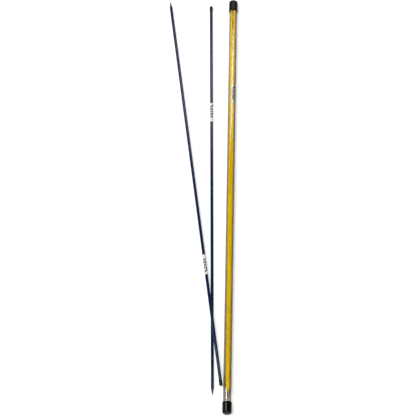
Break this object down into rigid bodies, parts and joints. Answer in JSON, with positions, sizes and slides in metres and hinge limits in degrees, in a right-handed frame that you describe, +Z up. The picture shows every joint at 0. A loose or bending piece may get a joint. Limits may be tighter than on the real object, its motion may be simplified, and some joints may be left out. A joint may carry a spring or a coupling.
{
  "type": "alignment stick set",
  "caption": "Slim pointed fibreglass marker sticks with vinyl end caps, some stored in a clear capped tube and some lying loose beside it, one crossed over another.",
  "frame": {"origin": "middle of the set's footprint, on the surface it lies on", "axes": "+Z up; +Y along the storage tube, from its bottom cap, where the points lie, towards its top cap; +X across, from the loose sticks towards the tube"},
  "size_m": [0.1954, 1.288, 0.0256],
  "materials": {
    "clear_plastic": "clear, smooth, glossy",
    "black_vinyl": "smooth dipped vinyl, glossy",
    "black_rubber": "smooth dipped vinyl, satin",
    "yellow_coat": "smooth coloured coat on a fibreglass rod, glossy",
    "navy_coat": "smooth coloured coat on a fibreglass rod, glossy",
    "label_film": "printed film, satin"
  },
  "bodies": {
    "tube": {"clear_tube": "clear_plastic"},
    "top_cap": {"top_tube_cap": "black_vinyl"},
    "bottom_cap": {"bottom_tube_cap": "black_vinyl"},
    "left_yellow_stick": {"left_yellow_rod": "yellow_coat", "left_yellow_end_cap": "black_rubber", "left_yellow_label": "label_film"},
    "right_yellow_stick": {"right_yellow_rod": "yellow_coat", "right_yellow_end_cap": "black_rubber", "right_yellow_label": "label_film"},
    "lower_navy_stick": {"lower_navy_rod": "navy_coat", "lower_navy_end_cap": "black_rubber", "lower_navy_label": "label_film"},
    "upper_navy_stick": {"upper_navy_rod": "navy_coat", "upper_navy_end_cap": "black_rubber", "upper_navy_label": "label_film"}
  },
  "joints": [
    {"name": "top_cap_slide", "type": "slide", "parent": "tube", "child": "top_cap", "axis": [0, 1, 0], "range_m": [0, 0.06]},
    {"name": "bottom_cap_slide", "type": "slide", "parent": "tube", "child": "bottom_cap", "axis": [0, -1, 0], "range_m": [0, 0.06]},
    {"name": "left_yellow_slide", "type": "slide", "parent": "tube", "child": "left_yellow_stick", "axis": [0.0037, -1, -0.0033], "range_m": [-0.0065, 0.0575]},
    {"name": "right_yellow_slide", "type": "slide", "parent": "tube", "child": "right_yellow_stick", "axis": [-0.0002, -1, -0.0009], "range_m": [-0.0108, 0.0532]},
    {"name": "lower_navy_lift", "type": "slide", "parent": "tube", "child": "lower_navy_stick", "axis": [0, 0, 1], "range_m": [0, 0.2]},
    {"name": "upper_navy_lift", "type": "slide", "parent": "lower_navy_stick", "child": "upper_navy_stick", "axis": [0, 0, 1], "range_m": [0, 0.2]}
  ]
}
